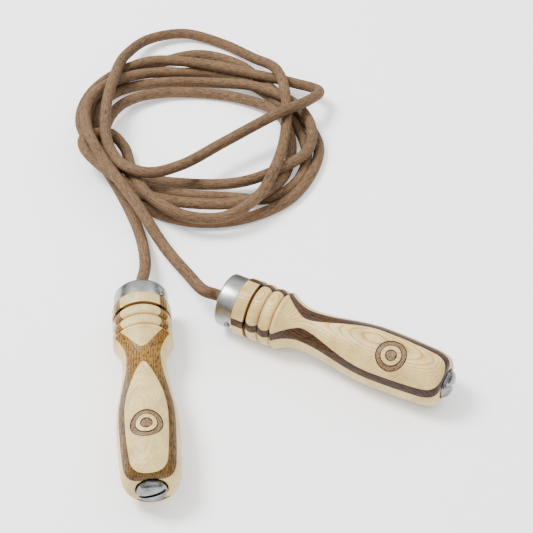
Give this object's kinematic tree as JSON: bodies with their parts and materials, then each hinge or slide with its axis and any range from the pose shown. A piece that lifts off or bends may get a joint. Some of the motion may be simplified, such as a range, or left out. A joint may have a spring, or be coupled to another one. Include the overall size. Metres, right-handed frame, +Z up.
{
  "type": "jump rope",
  "caption": "Leather jump rope, coiled loosely, with two turned laminated wood handles that spin on ball bearings in metal collars and hold a removable weight.",
  "frame": {"origin": "on the table, below the centre of the box round the two handles as they lie", "axes": "+Z up from the table, +X to the right, +Y away from the viewer, towards the coiled rope"},
  "size_m": [0.228, 0.4074, 0.0335],
  "materials": {
    "light_wood": "clear satin varnish over pale boards",
    "dark_wood": "clear satin varnish over brown boards",
    "rope_leather": "matte, fibrous, undyed brown",
    "satin_nickel": "satin nickel plate, brushed round",
    "polished_steel": "turned and lightly polished",
    "bearing_steel": "ground",
    "plain_steel": "plain turned bar",
    "brass": "turned",
    "black_rubber": "matte",
    "dark_fibre": "matte"
  },
  "bodies": {
    "rope_line": {"rope": "rope_leather", "left_rope_sleeve": "brass", "left_bearing_inner_race": "bearing_steel", "left_thrust_washer": "bearing_steel", "left_stop_ring": "bearing_steel", "right_rope_sleeve": "brass", "right_bearing_inner_race": "bearing_steel", "right_thrust_washer": "bearing_steel", "right_stop_ring": "bearing_steel"},
    "left_handle": {"left_core": "light_wood", "left_dark_a": "dark_wood", "left_dark_b": "dark_wood", "left_cap_a": "light_wood", "left_cap_b_front": "light_wood", "left_cap_b_grip": "light_wood", "left_collar": "satin_nickel", "left_collar_pin_1": "polished_steel", "left_collar_pin_2": "polished_steel", "left_bearing_outer_race": "bearing_steel", "left_thread_insert": "brass"},
    "left_ball_cage": {"left_bearing_ball_cage": "bearing_steel"},
    "left_plug_washer": {"left_plug_washer": "dark_fibre"},
    "left_plug": {"left_end_plug": "polished_steel"},
    "left_weight": {"left_weight_rod": "plain_steel", "left_weight_pad": "black_rubber"},
    "right_handle": {"right_core": "light_wood", "right_dark_a": "dark_wood", "right_dark_b": "dark_wood", "right_cap_a": "light_wood", "right_cap_b_front": "light_wood", "right_cap_b_grip": "light_wood", "right_collar": "satin_nickel", "right_collar_pin_1": "polished_steel", "right_collar_pin_2": "polished_steel", "right_bearing_outer_race": "bearing_steel", "right_thread_insert": "brass"},
    "right_ball_cage": {"right_bearing_ball_cage": "bearing_steel"},
    "right_plug_washer": {"right_plug_washer": "dark_fibre"},
    "right_plug": {"right_end_plug": "polished_steel"},
    "right_weight": {"right_weight_rod": "plain_steel", "right_weight_pad": "black_rubber"}
  },
  "joints": [
    {"name": "left_handle_spin", "type": "hinge", "parent": "rope_line", "child": "left_handle", "pos_m": [-0.07936, 0.06343, 0.01675], "axis": [0.1011, -0.9949, 0], "continuous": true},
    {"name": "left_cage_spin", "type": "hinge", "parent": "rope_line", "child": "left_ball_cage", "pos_m": [-0.0788, 0.05796, 0.01675], "axis": [0.1011, -0.9949, 0], "continuous": true},
    {"name": "left_plug_travel", "type": "slide", "parent": "left_handle", "child": "left_plug_washer", "axis": [0.1011, -0.9949, 0], "range_m": [0, 0.01225]},
    {"name": "left_plug_turn", "type": "hinge", "parent": "left_plug_washer", "child": "left_plug", "pos_m": [-0.06582, -0.06988, 0.01675], "axis": [-0.1011, 0.9949, 0], "range_deg": [0, 2521]},
    {"name": "left_weight_slide", "type": "slide", "parent": "left_handle", "child": "left_weight", "axis": [0.1011, -0.9949, 0], "range_m": [0, 0.01164]},
    {"name": "right_handle_spin", "type": "hinge", "parent": "rope_line", "child": "right_handle", "pos_m": [-0.03036, 0.06243, 0.01675], "axis": [0.8838, -0.4679, 0], "continuous": true},
    {"name": "right_cage_spin", "type": "hinge", "parent": "rope_line", "child": "right_ball_cage", "pos_m": [-0.0255, 0.05986, 0.01675], "axis": [0.8838, -0.4679, 0], "continuous": true},
    {"name": "right_plug_travel", "type": "slide", "parent": "right_handle", "child": "right_plug_washer", "axis": [0.8838, -0.4679, 0], "range_m": [0, 0.01225]},
    {"name": "right_plug_turn", "type": "hinge", "parent": "right_plug_washer", "child": "right_plug", "pos_m": [0.08807, -0.00027, 0.01675], "axis": [-0.8838, 0.4679, 0], "range_deg": [0, 2521]},
    {"name": "right_weight_slide", "type": "slide", "parent": "right_handle", "child": "right_weight", "axis": [0.8838, -0.4679, 0], "range_m": [0, 0.01164]}
  ],
  "couplings": [
    {"joint": "left_cage_spin", "follows": "left_handle_spin", "ratio": 0.56944},
    {"joint": "left_plug_turn", "follows": "left_plug_travel", "rad_per_m": 3590.4},
    {"joint": "left_weight_slide", "follows": "left_plug_travel", "ratio": 0.95},
    {"joint": "right_cage_spin", "follows": "right_handle_spin", "ratio": 0.56944},
    {"joint": "right_plug_turn", "follows": "right_plug_travel", "rad_per_m": 3590.4},
    {"joint": "right_weight_slide", "follows": "right_plug_travel", "ratio": 0.95}
  ]
}
